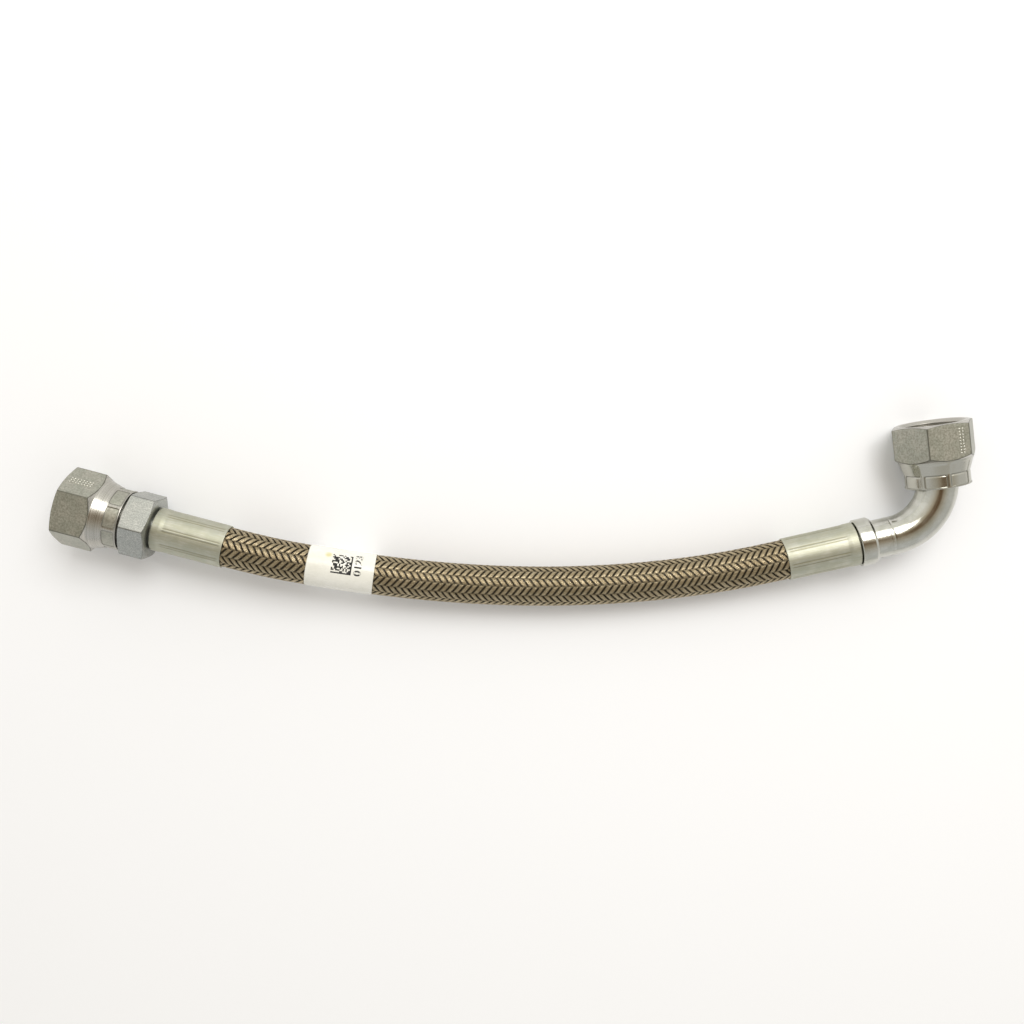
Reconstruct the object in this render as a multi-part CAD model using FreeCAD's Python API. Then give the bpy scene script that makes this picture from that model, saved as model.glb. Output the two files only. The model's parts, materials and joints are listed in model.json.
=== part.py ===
import FreeCAD, Part
import math
import os
from FreeCAD import Placement, Rotation, Vector

# Braided PTFE hose assembly, 3/4 inch face-seal size: a straight swivel fitting at end A,
# a 90 degree swept elbow with a swivel fitting at end B, lying on a flat surface.
# Millimetres and degrees. +X runs from end A to end B, +Y is the way the elbow's mouth
# points and +Z is up from the surface. The origin is on the surface, under the middle of
# the box round both fittings.

# Where the two fittings lie
NUT_FLATS = 34.9                 # across flats, 1 3/8 inch
AXIS_HEIGHT = NUT_FLATS / 2      # both nuts rest on one flat
MOUTH_A = Vector(-223.8, -2.6, AXIS_HEIGHT)
YAW_A = -15.0                    # from the mouth towards the hose, level
ELBOW_CORNER = Vector(213.95, -12.25, AXIS_HEIGHT)
YAW_B = 99.2                     # from the elbow towards its mouth, level
FERRULE_YAW_B = 13.7
FERRULE_PITCH_B = 3.5            # the hose lifts off the surface towards the elbow

# Distances along each fitting, from the mouth of its nut
SEAT_FACE = 15.2                 # flat sealing face
HEAD_END = 20.7
NECK_START = 22.8
NUT_LENGTH = 31.3
STEM_HEX_FRONT = 32.1
STEM_HEX_BACK = 45.2
FERRULE_MOUTH_A = 81.7           # where the hose enters ferrule A
ELBOW_CORNER_DEPTH = 51.4
ELBOW_BEND_RADIUS = 26.5
SLEEVE_END = 25.6                # end of the sleeve that holds the elbow tube

EDGE_BREAK = 0.3                 # small chamfer on outer edges

# Swivel nut
THREAD_MINOR_R = 13.93           # 1 3/16-12 internal thread
THREAD_START = 1.5
THREAD_END = 15.0
MOUTH_CHAMFER_R = 15.4
NUT_FACE_R = 16.7
NUT_CORNER_R = 20.2
NUT_CORNER_START = 1.2
NUT_CORNER_END = 15.8
NUT_CONE_START = 17.8
NUT_SKIRT_START = 24.3
NUT_CONE_R = 17.5
NUT_SKIRT_R = 15.5
NUT_RELIEF_R = 14.6
NUT_RELIEF_END = 21.0
NUT_BACK_BORE_R = 12.3
CRIMP_PADS = 8
CRIMP_PAD_ANGLE = 38.5
CRIMP_TURN_A = 12.0              # from a corner of the hexagon to the first ridge between pads
CRIMP_TURN_B = 3.5
CRIMP_PAD_DEPTH = 0.3
CRIMP_PAD_START = 24.5
CRIMP_PAD_END = 30.6

# Stems
HEAD_R = 14.3
HEAD_CHAMFER = 0.6
NECK_R = 12.22
STEM_HEX_FLATS = 30.2            # 1 3/16 inch
HEX_FACE_R = 14.4
HEX_CHAMFER = 0.85
NIPPLE_R = 6.95
NIPPLE_BORE_R = 5.6
NIPPLE_TIP = 4.0                 # distances from here on are from the ferrule's hose end
NIPPLE_LEAD = 1.0                # length of the taper at its tip
NIPPLE_LEAD_DEPTH = 0.7
TOOTH_DEPTH = 0.5
TOOTH_PITCH = 3.6
TOOTH_COUNT = 6
TOOTH_START = 7.0
HOSE_STOP = 30.9
LIP_GROOVE_START = 32.5
LIP_GROOVE_END = 34.9
LIP_GROOVE_R = 7.6
SHOULDER_R = 8.6
COLLAR_START = 36.2
COLLAR_END = 44.1
COLLAR_R = 11.95
COLLAR_FRONT_CHAMFER = 0.6
COLLAR_BACK_CHAMFER = 0.8
COLLAR_BACK_TAPER = 1.2
SPIGOT_END = 52.0
BORE_TAPER_START = 40.0
BORE_TAPER_END = 44.0

# Elbow tube and its brazed joints
TUBE_R = 9.7
TUBE_BORE_R = 7.7
WELD_PREP = 0.8                  # bevel on both sides of the butt joint
BEAD_HEIGHT = 0.05
STRAIGHT_AFTER_SEAM = 2.7        # before the bend starts
SOCKET_BOTTOM = 18.5             # where the tube stops in the seat head
FILLET_LEG = 1.2

# Ferrules
FERRULE_LENGTH = 35.6
FERRULE_R = 10.75
FERRULE_FLARE_R = 11.0
FLARE_START = 30.0
FLARE_END = 32.0
FERRULE_LIP_START = 32.7
FERRULE_LIP_END = 34.7
FERRULE_BACK_BORE_R = 9.2

# Hose, free and crimped
HOSE_R = 10.1
LINER_R = 9.0
LINER_BORE_R = 7.95
CRIMPED_HOSE_R = 8.9
CRIMPED_LINER_R = 7.95
HOSE_END = 30.7                  # inside the ferrule, measured from its hose end
LABEL_R = 10.4
LABEL_START = 41.5               # along the hose from ferrule A
LABEL_LENGTH = 33.5

# The hose's route between the two ferrules, between its first and last points. It leaves
# ferrule A level, settles onto the surface and lifts again before ferrule B.
FIRST_RUN = 20.0
LAST_RUN = 20.0
ROUTE_MIDDLE = [
    (-101.2, -33.6, 16.4),
    (-76.9, -37.8, 14.5),
    (-52.5, -41.3, 12.5),
    (-28.2, -43.8, 11.0),
    (-3.9, -45.2, 10.25),
    (20.5, -45.5, HOSE_R),
    (44.8, -44.7, HOSE_R),
    (69.2, -42.9, HOSE_R),
    (93.5, -39.9, 10.4),
]
ARC_SHARE = 0.45                 # how much of the shorter run a bend takes up
NO_LENGTH = 1e-6                 # a run or arc shorter than this is left out


def heading(yaw, pitch=0.0):
    level = math.cos(math.radians(pitch))
    return Vector(
        level * math.cos(math.radians(yaw)),
        level * math.sin(math.radians(yaw)),
        math.sin(math.radians(pitch)),
    )


AXIS_A = heading(YAW_A)
AXIS_B = heading(YAW_B)
FERRULE_AXIS_B = heading(FERRULE_YAW_B, FERRULE_PITCH_B)
ELBOW_ANGLE = math.degrees(AXIS_B.getAngle(FERRULE_AXIS_B))
ELBOW_TANGENT = ELBOW_BEND_RADIUS * math.tan(math.radians(ELBOW_ANGLE / 2))
MOUTH_B = ELBOW_CORNER + AXIS_B * ELBOW_CORNER_DEPTH
BEND_START = ELBOW_CORNER - FERRULE_AXIS_B * ELBOW_TANGENT
BEND_END = ELBOW_CORNER + AXIS_B * ELBOW_TANGENT
FERRULE_MOUTH_B = BEND_START - FERRULE_AXIS_B * (SPIGOT_END + STRAIGHT_AFTER_SEAM)
FERRULE_MOUTH_POINT_A = MOUTH_A + AXIS_A * FERRULE_MOUTH_A


def turned(outline):
    """A solid of revolution about X, from a closed outline of (x, radius) points."""
    points = [Vector(x, 0, r) for x, r in outline]
    face = Part.Face(Part.makePolygon(points + points[:1]))
    return face.revolve(Vector(0, 0, 0), Vector(1, 0, 0), 360)


def hexagon_bar(flats, start, end, corner_up):
    """A hexagonal bar along X, with a corner or a flat straight up."""
    first = 90 if corner_up else 60
    radius = flats / math.sqrt(3)
    corners = []
    for k in range(6):
        angle = math.radians(first + 60 * k)
        corners.append(Vector(start, radius * math.cos(angle), radius * math.sin(angle)))
    face = Part.Face(Part.makePolygon(corners + corners[:1]))
    return face.extrude(Vector(end - start, 0, 0))


def placed(shape, origin, direction):
    """Moves a shape made along X so that X points along direction, with Z as upright as it can be."""
    side = Vector(0, 0, 1).cross(direction)
    up = direction.cross(side)
    turn = Rotation(direction, side, up, "XZY")
    moved = shape.copy()
    moved.Placement = Placement(origin, turn).multiply(shape.Placement)
    return moved


def crimp_pad():
    """What one crimping die presses away from the nut's skirt, as a slice round X."""
    pad_r = NUT_SKIRT_R - CRIMP_PAD_DEPTH
    face = Part.Face(Part.makePolygon([
        Vector(CRIMP_PAD_START, pad_r, 0),
        Vector(CRIMP_PAD_END, pad_r, 0),
        Vector(CRIMP_PAD_END, NUT_CONE_R, 0),
        Vector(CRIMP_PAD_START, NUT_CONE_R, 0),
        Vector(CRIMP_PAD_START, pad_r, 0),
    ]))
    return face.revolve(Vector(0, 0, 0), Vector(1, 0, 0), CRIMP_PAD_ANGLE)


def swivel_nut(crimp_turn):
    """The nut, from its mouth at x = 0: threaded socket, thread relief and crimped back end."""
    outside = turned([
        (0, 0),
        (0, NUT_FACE_R),
        (NUT_CORNER_START, NUT_CORNER_R),
        (NUT_CORNER_END, NUT_CORNER_R),
        (NUT_CONE_START, NUT_CONE_R),
        (NUT_SKIRT_START, NUT_SKIRT_R),
        (NUT_LENGTH - EDGE_BREAK, NUT_SKIRT_R),
        (NUT_LENGTH, NUT_SKIRT_R - EDGE_BREAK),
        (NUT_LENGTH, 0),
    ])
    body = outside.common(hexagon_bar(NUT_FLATS, 0, NUT_LENGTH, corner_up=False))
    inside = turned([
        (0, 0),
        (0, MOUTH_CHAMFER_R),
        (THREAD_START, THREAD_MINOR_R),
        (THREAD_END, THREAD_MINOR_R),
        (THREAD_END, NUT_RELIEF_R),
        (NUT_RELIEF_END, NUT_RELIEF_R),
        (NUT_RELIEF_END + NUT_RELIEF_R - NUT_BACK_BORE_R, NUT_BACK_BORE_R),
        (NUT_LENGTH, NUT_BACK_BORE_R),
        (NUT_LENGTH, 0),
    ])
    body = body.cut(inside)
    pad = crimp_pad()
    for k in range(CRIMP_PADS):
        first_edge = crimp_turn + 360 / CRIMP_PADS * (k + 0.5) - CRIMP_PAD_ANGLE / 2
        one = pad.copy()
        one.rotate(Vector(0, 0, 0), Vector(1, 0, 0), first_edge)
        body = body.cut(one)
    return body


def head_outline():
    """The sealing head's outside, from its flat face back to the neck, as (x, radius)."""
    return [
        (SEAT_FACE, HEAD_R - HEAD_CHAMFER),
        (SEAT_FACE + HEAD_CHAMFER, HEAD_R),
        (HEAD_END, HEAD_R),
        (NECK_START, NECK_R),
    ]


def nipple_outline():
    """The nipple's outside from its tip to the shoulder, as (distance from the hose end, radius)."""
    points = [(NIPPLE_TIP, NIPPLE_R - NIPPLE_LEAD_DEPTH), (NIPPLE_TIP + NIPPLE_LEAD, NIPPLE_R)]
    for k in range(TOOTH_COUNT):
        start = TOOTH_START + TOOTH_PITCH * k
        points.append((start, NIPPLE_R))
        points.append((start, NIPPLE_R - TOOTH_DEPTH))
        points.append((start + TOOTH_PITCH / 2, NIPPLE_R))
    points.append((HOSE_STOP, NIPPLE_R))
    points.append((HOSE_STOP, SHOULDER_R))
    points.append((LIP_GROOVE_START, SHOULDER_R))
    points.append((LIP_GROOVE_START, LIP_GROOVE_R))
    points.append((LIP_GROOVE_END, LIP_GROOVE_R))
    points.append((LIP_GROOVE_END, SHOULDER_R))
    return points


def stem_a():
    """The straight stem, from its ferrule's hose end: barbed nipple, hexagon, neck and head."""
    def back(distance):
        return FERRULE_MOUTH_A - distance

    outline = nipple_outline()
    outline.append((back(STEM_HEX_BACK), SHOULDER_R))
    outline.append((back(STEM_HEX_BACK), NECK_R))
    outline.append((back(STEM_HEX_FRONT), NECK_R))
    for x, r in reversed(head_outline()):
        outline.append((back(x), r))
    outline.append((back(SEAT_FACE), NIPPLE_BORE_R))
    outline.append((NIPPLE_TIP, NIPPLE_BORE_R))
    body = turned(outline)
    start = back(STEM_HEX_BACK)
    end = back(STEM_HEX_FRONT)
    corner = STEM_HEX_FLATS / math.sqrt(3)
    limit = turned([
        (start, NIPPLE_BORE_R),
        (start, HEX_FACE_R),
        (start + HEX_CHAMFER, corner),
        (end - HEX_CHAMFER, corner),
        (end, HEX_FACE_R),
        (end, NIPPLE_BORE_R),
    ])
    return body.fuse(limit.common(hexagon_bar(STEM_HEX_FLATS, start, end, corner_up=True)))


def stem_b():
    """The elbow's stem, from its ferrule's hose end: barbed nipple, collar and spigot."""
    outline = nipple_outline()
    outline.append((COLLAR_START, SHOULDER_R))
    outline.append((COLLAR_START, COLLAR_R - COLLAR_FRONT_CHAMFER))
    outline.append((COLLAR_START + COLLAR_FRONT_CHAMFER, COLLAR_R))
    outline.append((COLLAR_END - COLLAR_BACK_TAPER, COLLAR_R))
    outline.append((COLLAR_END, COLLAR_R - COLLAR_BACK_CHAMFER))
    outline.append((COLLAR_END, TUBE_R))
    outline.append((SPIGOT_END - WELD_PREP, TUBE_R))
    outline.append((SPIGOT_END, TUBE_R - WELD_PREP))
    outline.append((SPIGOT_END, TUBE_BORE_R))
    outline.append((BORE_TAPER_END, TUBE_BORE_R))
    outline.append((BORE_TAPER_START, NIPPLE_BORE_R))
    outline.append((NIPPLE_TIP, NIPPLE_BORE_R))
    return turned(outline)


def seam_ring():
    """The bead that fills the bevels between the spigot and the elbow tube."""
    return turned([
        (SPIGOT_END, TUBE_R - WELD_PREP),
        (SPIGOT_END - WELD_PREP, TUBE_R),
        (SPIGOT_END - WELD_PREP / 2, TUBE_R + BEAD_HEIGHT),
        (SPIGOT_END + WELD_PREP / 2, TUBE_R + BEAD_HEIGHT),
        (SPIGOT_END + WELD_PREP, TUBE_R),
    ])


def seat_head():
    """The elbow's sealing head, from the mouth of its nut, with the socket that holds the tube."""
    outline = head_outline()
    outline.append((SLEEVE_END, NECK_R))
    outline.append((SLEEVE_END, TUBE_R))
    outline.append((SOCKET_BOTTOM, TUBE_R))
    outline.append((SOCKET_BOTTOM, TUBE_BORE_R))
    outline.append((SEAT_FACE, TUBE_BORE_R))
    return turned(outline)


def sleeve_fillet():
    """The braze fillet between the head's sleeve and the elbow tube."""
    return turned([
        (SLEEVE_END, TUBE_R),
        (SLEEVE_END, TUBE_R + FILLET_LEG),
        (SLEEVE_END + FILLET_LEG, TUBE_R),
    ])


def ferrule():
    """The crimped ferrule, from its hose end: bell mouth, crimped bore and locking lip."""
    return turned([
        (0, HOSE_R),
        (0, FERRULE_R - EDGE_BREAK),
        (EDGE_BREAK, FERRULE_R),
        (FLARE_START, FERRULE_R),
        (FLARE_END, FERRULE_FLARE_R),
        (FERRULE_LENGTH - EDGE_BREAK, FERRULE_FLARE_R),
        (FERRULE_LENGTH, FERRULE_FLARE_R - EDGE_BREAK),
        (FERRULE_LENGTH, FERRULE_BACK_BORE_R),
        (FERRULE_LIP_END, FERRULE_BACK_BORE_R),
        (FERRULE_LIP_END, LIP_GROOVE_R),
        (FERRULE_LIP_START, LIP_GROOVE_R),
        (FERRULE_LIP_START, CRIMPED_HOSE_R),
        (NIPPLE_TIP, CRIMPED_HOSE_R),
    ])


def rounded_path(points, share):
    """Straight runs joined by tangent arcs, as a list of edges. Prints each arc's radius."""
    edges = []
    radii = []
    here = points[0]
    for before, corner, after in zip(points, points[1:], points[2:]):
        inward = (before - corner).normalize()
        outward = (after - corner).normalize()
        shorter = min((corner - before).Length, (after - corner).Length)
        cut = share * shorter
        half_turn = (math.pi - inward.getAngle(outward)) / 2
        radius = cut / math.tan(half_turn)
        radii.append(round(radius))
        start = corner + inward * cut
        end = corner + outward * cut
        to_middle = (inward + outward).normalize()
        middle = corner + to_middle * (radius / math.cos(half_turn) - radius)
        edges.append(Part.LineSegment(here, start).toShape())
        edges.append(Part.Arc(start, middle, end).toShape())
        here = end
    edges.append(Part.LineSegment(here, points[-1]).toShape())
    print("bend radii, mm:", radii)
    return edges


def stretch(edges, start, length):
    """The part of a path between two distances along it."""
    kept = []
    passed = 0.0
    for edge in edges:
        low = max(start - passed, 0.0)
        high = min(start + length - passed, edge.Length)
        if high - low > NO_LENGTH:
            first = edge.getParameterByLength(low)
            last = edge.getParameterByLength(high)
            kept.append(edge.Curve.toShape(first, last))
        passed += edge.Length
    return kept


def rod(edges, radius):
    """A round solid along a path of runs and tangent arcs."""
    path = Part.Wire(edges)
    start = edges[0].valueAt(edges[0].FirstParameter)
    direction = edges[0].tangentAt(edges[0].FirstParameter)
    circle = Part.Wire([Part.Circle(start, direction, radius).toShape()])
    solid = path.makePipeShell([circle], True, True)
    expected = math.pi * radius ** 2 * path.Length
    print("rod of radius", radius, "volume / section x length:", round(solid.Volume / expected, 5))
    return solid


def crimped_end(free_r, crimped_r):
    """The stretch of a hose layer inside a ferrule, filled in to the axis."""
    return turned([
        (0, 0),
        (0, free_r),
        (NIPPLE_TIP, crimped_r),
        (HOSE_END, crimped_r),
        (HOSE_END, 0),
    ])


def layer(edges, free_r, crimped_r):
    """A hose layer's outside as a full solid: its free length and both crimped ends."""
    end = crimped_end(free_r, crimped_r)
    solid = rod(edges, free_r)
    solid = solid.fuse(placed(end, FERRULE_MOUTH_POINT_A, -AXIS_A))
    solid = solid.fuse(placed(end, FERRULE_MOUTH_B, FERRULE_AXIS_B))
    return solid


def hose_route():
    points = [FERRULE_MOUTH_POINT_A, FERRULE_MOUTH_POINT_A + AXIS_A * FIRST_RUN]
    points += [Vector(*point) for point in ROUTE_MIDDLE]
    points += [FERRULE_MOUTH_B - FERRULE_AXIS_B * LAST_RUN, FERRULE_MOUTH_B]
    for point in points:
        print("route point:", [round(value, 2) for value in point])
    return rounded_path(points, ARC_SHARE)


def elbow_tube():
    """The bent tube from the seam at the spigot to the bottom of the seat head's socket."""
    seam = FERRULE_MOUTH_B + FERRULE_AXIS_B * SPIGOT_END
    far_end = MOUTH_B - AXIS_B * SOCKET_BOTTOM
    inward = (BEND_START - ELBOW_CORNER).normalize()
    outward = (BEND_END - ELBOW_CORNER).normalize()
    half_turn = math.radians(ELBOW_ANGLE / 2)
    to_middle = (inward + outward).normalize()
    corner_to_arc = ELBOW_BEND_RADIUS / math.cos(half_turn) - ELBOW_BEND_RADIUS
    middle = ELBOW_CORNER + to_middle * corner_to_arc
    edges = [
        Part.LineSegment(seam, BEND_START).toShape(),
        Part.Arc(BEND_START, middle, BEND_END).toShape(),
        Part.LineSegment(BEND_END, far_end).toShape(),
    ]
    tube = rod(edges, TUBE_R).cut(rod(edges, TUBE_BORE_R))
    bevel = turned([
        (SPIGOT_END, TUBE_R - WELD_PREP),
        (SPIGOT_END + WELD_PREP, TUBE_R),
        (SPIGOT_END + WELD_PREP, TUBE_R + WELD_PREP),
        (SPIGOT_END, TUBE_R + WELD_PREP),
    ])
    return tube.cut(placed(bevel, FERRULE_MOUTH_B, FERRULE_AXIS_B))


def hose_parts():
    route = hose_route()
    length = sum(edge.Length for edge in route)
    print("free hose length, mm:", round(length, 1))
    liner_outside = layer(route, LINER_R, CRIMPED_LINER_R)
    liner_inside = layer(route, LINER_BORE_R, NIPPLE_R)
    braid_outside = layer(route, HOSE_R, CRIMPED_HOSE_R)
    label_path = stretch(route, LABEL_START, LABEL_LENGTH)
    return {
        "hose_liner": liner_outside.cut(liner_inside),
        "wire_braid": braid_outside.cut(liner_outside),
        "id_label": rod(label_path, LABEL_R).cut(rod(label_path, HOSE_R)),
    }


def all_parts():
    parts = {
        "swivel_nut_a": placed(swivel_nut(CRIMP_TURN_A), MOUTH_A, AXIS_A),
        "stem_a": placed(stem_a(), FERRULE_MOUTH_POINT_A, -AXIS_A),
        "ferrule_a": placed(ferrule(), FERRULE_MOUTH_POINT_A, -AXIS_A),
        "ferrule_b": placed(ferrule(), FERRULE_MOUTH_B, FERRULE_AXIS_B),
        "stem_b": placed(stem_b(), FERRULE_MOUTH_B, FERRULE_AXIS_B),
        "braze_ring_stem": placed(seam_ring(), FERRULE_MOUTH_B, FERRULE_AXIS_B),
        "elbow_tube": elbow_tube(),
        "braze_ring_head": placed(sleeve_fillet(), MOUTH_B, -AXIS_B),
        "seat_head_b": placed(seat_head(), MOUTH_B, -AXIS_B),
        "swivel_nut_b": placed(swivel_nut(CRIMP_TURN_B), MOUTH_B, -AXIS_B),
    }
    parts.update(hose_parts())
    return parts


def describe(name, shape):
    box = shape.BoundBox
    state = "valid" if shape.isValid() else "NOT VALID"
    low = [round(value, 2) for value in (box.XMin, box.YMin, box.ZMin)]
    high = [round(value, 2) for value in (box.XMax, box.YMax, box.ZMax)]
    print(name, shape.ShapeType, state, "volume", round(shape.Volume), "from", low, "to", high)


os.makedirs("parts", exist_ok=True)
print("elbow angle", round(ELBOW_ANGLE, 2))
for name, shape in all_parts().items():
    solid = shape.removeSplitter().Solids[0]
    describe(name, solid)
    solid.exportStep("parts/" + name + ".step")
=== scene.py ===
import json
import math
import random

import bpy
import numpy as np
from mathutils import Matrix, Vector


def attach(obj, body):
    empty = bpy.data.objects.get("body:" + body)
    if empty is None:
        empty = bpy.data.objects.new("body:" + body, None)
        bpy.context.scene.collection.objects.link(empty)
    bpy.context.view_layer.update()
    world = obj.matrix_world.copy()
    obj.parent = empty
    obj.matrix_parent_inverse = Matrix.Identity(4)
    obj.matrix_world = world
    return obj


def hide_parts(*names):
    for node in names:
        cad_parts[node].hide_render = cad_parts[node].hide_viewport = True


# Looks for a braided hose assembly lying on a pale floor. Metres in the row frame: +X runs from
# the straight fitting (end A) to the elbow fitting (end B) and +Z is up. Every metal part is
# turned, bent or woven as a mesh of its own in millimetres, in the place that the frame gives.

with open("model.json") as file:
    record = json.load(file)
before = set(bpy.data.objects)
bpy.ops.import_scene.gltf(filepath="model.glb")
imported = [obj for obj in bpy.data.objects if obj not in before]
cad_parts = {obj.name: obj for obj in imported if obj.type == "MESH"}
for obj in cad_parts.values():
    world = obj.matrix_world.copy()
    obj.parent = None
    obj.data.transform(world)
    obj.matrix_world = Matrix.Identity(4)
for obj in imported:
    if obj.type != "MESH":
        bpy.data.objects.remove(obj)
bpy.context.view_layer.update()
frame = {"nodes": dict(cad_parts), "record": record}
MM = 0.001

# ---------------------------------------------------------------------------------------------
# Camera
# ---------------------------------------------------------------------------------------------

CAMERA_TARGET = Vector((-0.0016, -0.00835, 0.0))
CAMERA_DISTANCE = 0.4894
CAMERA_LEAN = math.radians(7.42)      # away from straight down, towards +Y
CAMERA_LENS = 33.16


def add_camera():
    data = bpy.data.cameras.new("camera")
    data.lens = CAMERA_LENS
    data.sensor_width = 36.0
    camera = bpy.data.objects.new("camera", data)
    bpy.context.scene.collection.objects.link(camera)
    away = Vector((0.0, math.sin(CAMERA_LEAN), math.cos(CAMERA_LEAN)))
    camera.location = CAMERA_TARGET + away * CAMERA_DISTANCE
    camera.rotation_euler = (-CAMERA_LEAN, 0.0, 0.0)
    bpy.context.scene.camera = camera


add_camera()

# ---------------------------------------------------------------------------------------------
# Shader building
# ---------------------------------------------------------------------------------------------


METAL_TONE = (0.88, 0.88, 0.88)   # zinc and steel reflect this much of each material's colour


class Shader:
    """A node material with one Principled shader, and short calls for the nodes it uses."""

    def __init__(self, name):
        self.material = bpy.data.materials.new(name)
        self.material.use_nodes = True
        self.tree = self.material.node_tree
        self.surface = self.tree.nodes["Principled BSDF"]

    def fill(self, socket, value):
        if isinstance(value, bpy.types.NodeSocket):
            self.tree.links.new(value, socket)
        else:
            socket.default_value = value

    def add(self, kind, inputs, output=0, **settings):
        node = self.tree.nodes.new(kind)
        for key, value in settings.items():
            setattr(node, key, value)
        for key, value in inputs.items():
            self.fill(node.inputs[key], value)
        return node.outputs[output]

    def place(self):
        """The part's own coordinates in millimetres: x along its axis, y and z across it."""
        return self.add("ShaderNodeAttribute", {}, "Vector", attribute_name="local")

    def mask(self, name):
        return self.add("ShaderNodeAttribute", {}, "Fac", attribute_name=name)

    def math(self, operation, a, b=0.0):
        return self.add("ShaderNodeMath", {0: a, 1: b}, operation=operation)

    def stretched(self, vector, scale):
        return self.add("ShaderNodeVectorMath", {0: vector, 1: scale}, operation="MULTIPLY")

    def noise(self, vector, scale, detail=4.0, rough=0.55):
        inputs = {"Vector": vector, "Scale": scale, "Detail": detail, "Roughness": rough}
        return self.add("ShaderNodeTexNoise", inputs)

    def cells(self, vector, scale):
        return self.add("ShaderNodeTexVoronoi", {"Vector": vector, "Scale": scale}, "Distance")

    def between(self, value, low, high, start=0.0, end=1.0):
        inputs = {0: value, 1: low, 2: high, 3: start, 4: end}
        return self.add("ShaderNodeMapRange", inputs, interpolation_type="SMOOTHSTEP")

    def blend(self, factor, a, b, mode="MIX"):
        inputs = {0: factor, 6: tuple(a) + (1.0,) if isinstance(a, tuple) else a}
        inputs[7] = tuple(b) + (1.0,) if isinstance(b, tuple) else b
        return self.add("ShaderNodeMix", inputs, 2, data_type="RGBA", blend_type=mode)

    def bump(self, height, depth_mm, normal=None):
        inputs = {"Height": height, "Distance": depth_mm * MM, "Strength": 1.0}
        if normal is not None:
            inputs["Normal"] = normal
        return self.add("ShaderNodeBump", inputs, "Normal")

    def finish(self, colour, roughness, normal, metallic=1.0):
        if metallic:
            colour = self.blend(1.0, colour, METAL_TONE, "MULTIPLY")
        self.fill(self.surface.inputs["Base Color"], colour)
        self.fill(self.surface.inputs["Roughness"], roughness)
        self.fill(self.surface.inputs["Normal"], normal)
        self.surface.inputs["Metallic"].default_value = metallic
        return self.material


def rings_of(shader, place, scale):
    """Noise that only changes along the axis and with the radius, as a lathe tool leaves it."""
    parts = shader.tree.nodes.new("ShaderNodeSeparateXYZ")
    shader.fill(parts.inputs[0], place)
    across = shader.add("ShaderNodeCombineXYZ", {0: 0.0, 1: parts.outputs[1], 2: parts.outputs[2]})
    radius = shader.add("ShaderNodeVectorMath", {0: across}, "Value", operation="LENGTH")
    flat = shader.add("ShaderNodeCombineXYZ", {0: parts.outputs[0], 1: radius, 2: 0.0})
    return shader.noise(flat, scale, 5.0, 0.7)


def nut_material():
    s = Shader("nut_zinc")
    place = s.place()
    turned = s.mask("turned")
    edge = s.mask("edge")
    broad = s.noise(place, 0.16, 3.0)
    grain = s.noise(place, 1.1, 6.0, 0.75)
    fine = s.noise(place, 7.0, 3.0, 0.6)
    rings = rings_of(s, place, 3.2)
    pits = s.between(s.cells(place, 0.34), 0.0, 0.10)
    colour = s.blend(s.between(broad, 0.35, 0.68), (0.49, 0.495, 0.425), (0.56, 0.545, 0.475))
    colour = s.blend(s.between(grain, 0.38, 0.62), s.blend(0.6, colour, (0.22, 0.22, 0.175)), colour)
    rung = s.blend(s.between(rings, 0.35, 0.65), (0.44, 0.43, 0.385), (0.60, 0.575, 0.53))
    colour = s.blend(turned, colour, rung)
    polished = s.mask("polished")
    colour = s.blend(polished, colour, (0.54, 0.53, 0.47))
    # Painted shade: thin dark lines along the hexagon's corners, where its flats meet the turned cone, and
    # round the crimp pads, broken up by the grain.
    edge_shade = s.math("MULTIPLY", edge, s.between(grain, 0.30, 0.52, 0.45, 1.0))
    colour = s.blend(s.math("MULTIPLY", edge_shade, 0.9), colour, (0.07, 0.068, 0.05))
    rough_flat = s.between(grain, 0.3, 0.7, 0.36, 0.50)
    rough_turned = s.between(rings, 0.3, 0.7, 0.20, 0.34)
    roughness = s.add("ShaderNodeMix", {0: turned, 2: rough_flat, 3: rough_turned}, 0)
    flat_height = s.math("ADD", s.math("MULTIPLY", grain, 0.5), s.math("MULTIPLY", fine, 0.22))
    flat_height = s.math("ADD", flat_height, s.math("MULTIPLY", pits, 0.9))
    height = s.add("ShaderNodeMix", {0: turned, 2: flat_height, 3: s.math("MULTIPLY", rings, 0.35)}, 0)
    roughness = s.add("ShaderNodeMix", {0: polished, 2: roughness, 3: 0.17}, 0)
    height = s.add("ShaderNodeMix", {0: polished, 2: height, 3: s.math("MULTIPLY", broad, 1.5)}, 0)
    return s.finish(colour, roughness, s.bump(height, 0.05))


def mark_material():
    """The raised marks are painted far brighter than the flat they stand on, a painted glint."""
    s = Shader("nut_marks")
    grain = s.noise(s.place(), 2.0, 4.0)
    colour = s.blend(s.between(grain, 0.35, 0.65), (0.80, 0.79, 0.70), (0.95, 0.94, 0.87))
    return s.finish(colour, s.between(grain, 0.3, 0.7, 0.36, 0.48), s.bump(grain, 0.01))


def stem_material():
    s = Shader("stem_zinc")
    place = s.place()
    edge = s.mask("edge")
    turned = s.mask("turned")
    broad = s.noise(place, 0.2, 3.0)
    grain = s.noise(place, 1.7, 6.0, 0.72)
    rings = rings_of(s, place, 3.5)
    speck = s.between(grain, 0.42, 0.60)
    colour = s.blend(s.between(broad, 0.3, 0.7), (0.51, 0.52, 0.49), (0.61, 0.61, 0.57))
    colour = s.blend(speck, s.blend(0.75, colour, (0.30, 0.31, 0.29)), colour)
    # Painted shade: dark lines along the hexagon's corners and where its flats meet the turned ends.
    colour = s.blend(s.math("MULTIPLY", edge, 0.7), colour, (0.12, 0.12, 0.11))
    roughness = s.between(grain, 0.3, 0.7, 0.40, 0.30)
    height = s.add("ShaderNodeMix", {0: turned, 2: grain, 3: s.math("MULTIPLY", rings, 0.5)}, 0)
    return s.finish(colour, roughness, s.bump(height, 0.03))


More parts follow.
